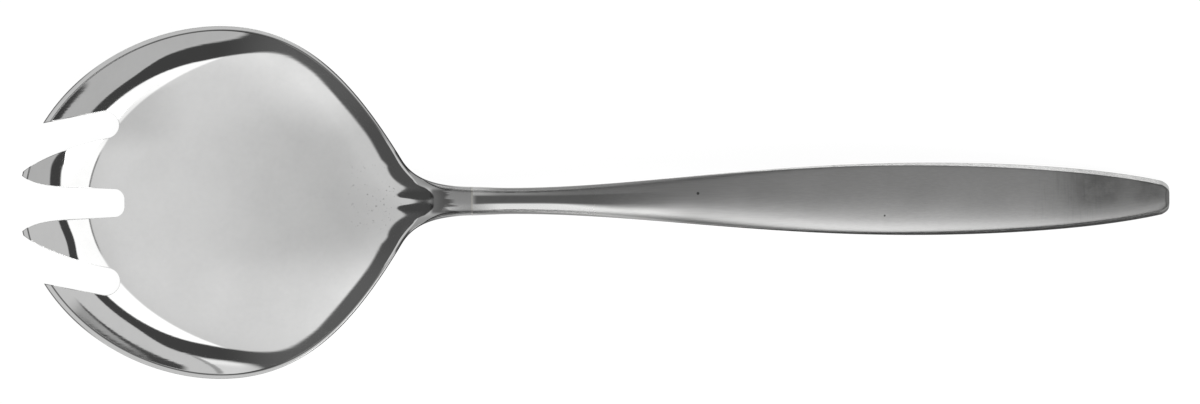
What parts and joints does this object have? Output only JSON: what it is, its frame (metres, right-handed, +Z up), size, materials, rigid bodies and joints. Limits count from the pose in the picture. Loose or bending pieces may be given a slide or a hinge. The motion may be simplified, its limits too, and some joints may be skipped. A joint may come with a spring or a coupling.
{
  "type": "serving fork",
  "caption": "Serving fork with a shallow round mirror-polished bowl cut into short pointed tines, brazed at a slim neck to a crowned satin bar handle.",
  "frame": {"origin": "on the table plane, at the middle of the fork's length and width", "axes": "+X along the fork from the tines to the tip of the handle, +Z up out of the bowl, symmetric about Y = 0"},
  "size_m": [0.2287, 0.0702, 0.0155],
  "materials": {
    "mirror_steel": "mirror-polished stainless steel with fine use scratches and a faint cloudy film",
    "braze_metal": "silver-coloured brazing filler dressed flush with the neck",
    "satin_steel": "satin stainless steel brushed along its length, darker toward the tip"
  },
  "bodies": {
    "root": {"bowl_head": "mirror_steel", "braze_ring": "braze_metal", "handle": "satin_steel"}
  },
  "joints": []
}
